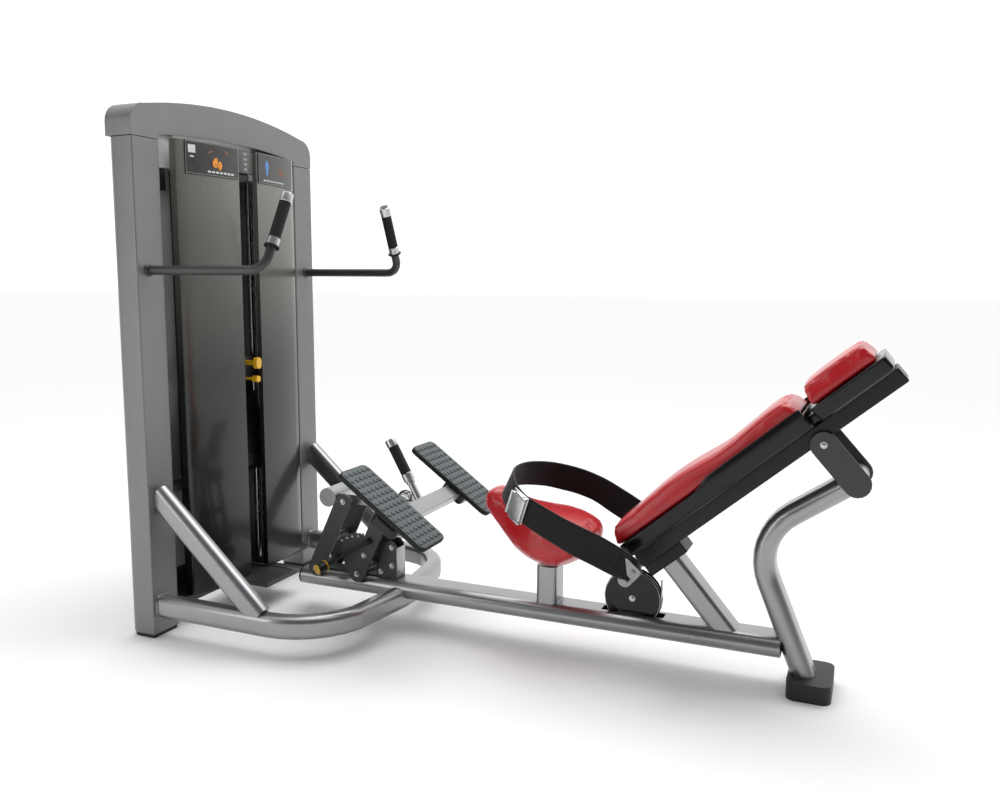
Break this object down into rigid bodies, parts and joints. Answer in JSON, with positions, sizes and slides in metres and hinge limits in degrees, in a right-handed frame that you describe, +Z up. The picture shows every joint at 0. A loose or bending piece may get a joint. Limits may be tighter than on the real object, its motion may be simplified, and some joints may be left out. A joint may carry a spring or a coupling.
{
  "type": "glute bridge machine",
  "caption": "Selectorised hip-thrust strength machine with a weight tower, foot carriage, saddle, hip belt and a pivoting padded back.",
  "frame": {"origin": "on the floor, at the bottom centre of the whole machine's box", "axes": "+X runs from the weight tower to the head of the back pad, +Z is up, and +Y is to the right of the user, who faces the tower"},
  "size_m": [2.1842, 0.886, 1.654],
  "materials": {
    "silver": "satin metallic silver paint",
    "charcoal": "satin charcoal paint",
    "olive": "glossy dark olive-grey panel",
    "steel": "bright steel",
    "black_metal": "black paint",
    "cast_black": "black painted cast plates",
    "black_plastic": "black moulded plastic",
    "rubber": "dark matt rubber",
    "red": "glossy red upholstery",
    "yellow": "yellow plastic",
    "webbing": "black webbing"
  },
  "bodies": {
    "frame": {"base_hoop": "silver", "brace_left": "silver", "brace_right": "silver", "column_foot_left": "rubber", "column_foot_right": "rubber", "column_left": "silver", "column_right": "silver", "disc_guard": "black_metal", "drive_cable": "steel", "foot_bracket": "charcoal", "front_panel_left": "olive", "front_panel_right": "olive", "guide_rod_left": "steel", "guide_rod_right": "steel", "lift_cable": "steel", "main_beam": "silver", "placard_left": "black_plastic", "placard_right": "black_plastic", "plates_resting": "cast_black", "ratchet_sector": "steel", "rear_foot": "rubber", "rear_panel": "steel", "rear_post": "silver", "rear_strut": "silver", "rest_block": "rubber", "seat_pad": "red", "seat_post": "silver", "stack_support": "charcoal", "stretch_bar_left": "charcoal", "stretch_bar_right": "charcoal", "stretch_grip_left": "rubber", "stretch_grip_right": "rubber", "top_cap": "silver", "top_crossbar": "steel", "top_pulley_bracket": "black_metal", "tower_base": "charcoal"},
    "stack": {"stack_head": "cast_black", "plate_selected": "cast_black"},
    "pin": {"selector_pin": "yellow"},
    "dial": {"addon_dial": "yellow"},
    "links": {"link_plate_left": "charcoal", "link_plate_right": "charcoal"},
    "back": {"back_frame": "charcoal", "back_shell": "black_plastic", "back_pad": "red", "head_pad": "red", "belt_yoke": "steel"},
    "belt": {"hip_belt": "webbing", "belt_buckle": "steel"},
    "rear_arm": {"arm_rear": "charcoal"},
    "front_arm": {"arm_front": "charcoal"},
    "footrest": {"foot_frame": "charcoal", "foot_plate_left": "rubber", "foot_plate_right": "rubber", "hand_grip": "rubber"},
    "lever": {"release_lever": "black_metal"},
    "top_wheel": {"top_pulley": "black_plastic"},
    "idler_wheel": {"idler_pulley": "black_plastic"},
    "base_wheel": {"base_pulley": "black_plastic"},
    "disc": {"cable_disc": "black_metal"}
  },
  "joints": [
    {"name": "link_swing", "type": "hinge", "parent": "frame", "child": "links", "pos_m": [0.9899, 0, 0.597], "axis": [0, 1, 0], "range_deg": [0, 10]},
    {"name": "back_tilt", "type": "hinge", "parent": "links", "child": "back", "pos_m": [0.9059, 0, 0.692], "axis": [0, 1, 0], "range_deg": [0, 20]},
    {"name": "belt_swing", "type": "hinge", "parent": "back", "child": "belt", "pos_m": [0.4479, 0, 0.331], "axis": [0, 1, 0], "range_deg": [0, 60]},
    {"name": "stack_lift", "type": "slide", "parent": "frame", "child": "stack", "axis": [0, 0, 1], "range_m": [0, 0.302], "deforming": ["lift_cable"]},
    {"name": "pin_pull", "type": "slide", "parent": "stack", "child": "pin", "axis": [1, 0, 0], "range_m": [0, 0.09]},
    {"name": "dial_turn", "type": "hinge", "parent": "stack", "child": "dial", "pos_m": [-0.9688, 0, 0.823], "axis": [1, 0, 0], "range_deg": [0, 90]},
    {"name": "top_pulley_turn", "type": "hinge", "parent": "frame", "child": "top_wheel", "pos_m": [-1.0536, 0, 1.44], "axis": [0, -1, 0], "range_deg": [0, 585]},
    {"name": "idler_pulley_turn", "type": "hinge", "parent": "frame", "child": "idler_wheel", "pos_m": [-1.0281, 0, 0.375], "axis": [0, -1, 0], "range_deg": [0, 314]},
    {"name": "base_pulley_turn", "type": "hinge", "parent": "frame", "child": "base_wheel", "pos_m": [-1.0381, 0, 0.165], "axis": [0, -1, 0], "range_deg": [0, 384]},
    {"name": "disc_turn", "type": "hinge", "parent": "frame", "child": "disc", "pos_m": [0.4009, 0, 0.192], "axis": [0, -1, 0], "range_deg": [0, 211]},
    {"name": "foot_swing", "type": "hinge", "parent": "frame", "child": "rear_arm", "pos_m": [-0.4971, 0, 0.16], "axis": [0, -1, 0], "range_deg": [0, 30]},
    {"name": "footrest_level", "type": "hinge", "parent": "rear_arm", "child": "footrest", "pos_m": [-0.3871, 0, 0.394], "axis": [0, -1, 0], "range_deg": [-30, 0]},
    {"name": "front_arm_swing", "type": "hinge", "parent": "frame", "child": "front_arm", "pos_m": [-0.6551, 0, 0.16], "axis": [0, -1, 0], "range_deg": [0, 30]},
    {"name": "lever_lift", "type": "hinge", "parent": "rear_arm", "child": "lever", "pos_m": [-0.4501, 0, 0.2755], "axis": [0, 1, 0], "range_deg": [0, 15], "stiffness_Nm_per_rad": 3, "springref_deg": -11.46}
  ],
  "couplings": [
    {"joint": "link_swing", "follows": "back_tilt", "ratio": 0.5},
    {"joint": "stack_lift", "follows": "back_tilt", "m_per_rad": 0.86},
    {"joint": "top_pulley_turn", "follows": "back_tilt", "ratio": 29.152},
    {"joint": "idler_pulley_turn", "follows": "back_tilt", "ratio": 15.636},
    {"joint": "base_pulley_turn", "follows": "back_tilt", "ratio": 19.111},
    {"joint": "disc_turn", "follows": "back_tilt", "ratio": 10.488},
    {"joint": "footrest_level", "follows": "foot_swing", "ratio": -1},
    {"joint": "front_arm_swing", "follows": "foot_swing", "ratio": 1}
  ]
}
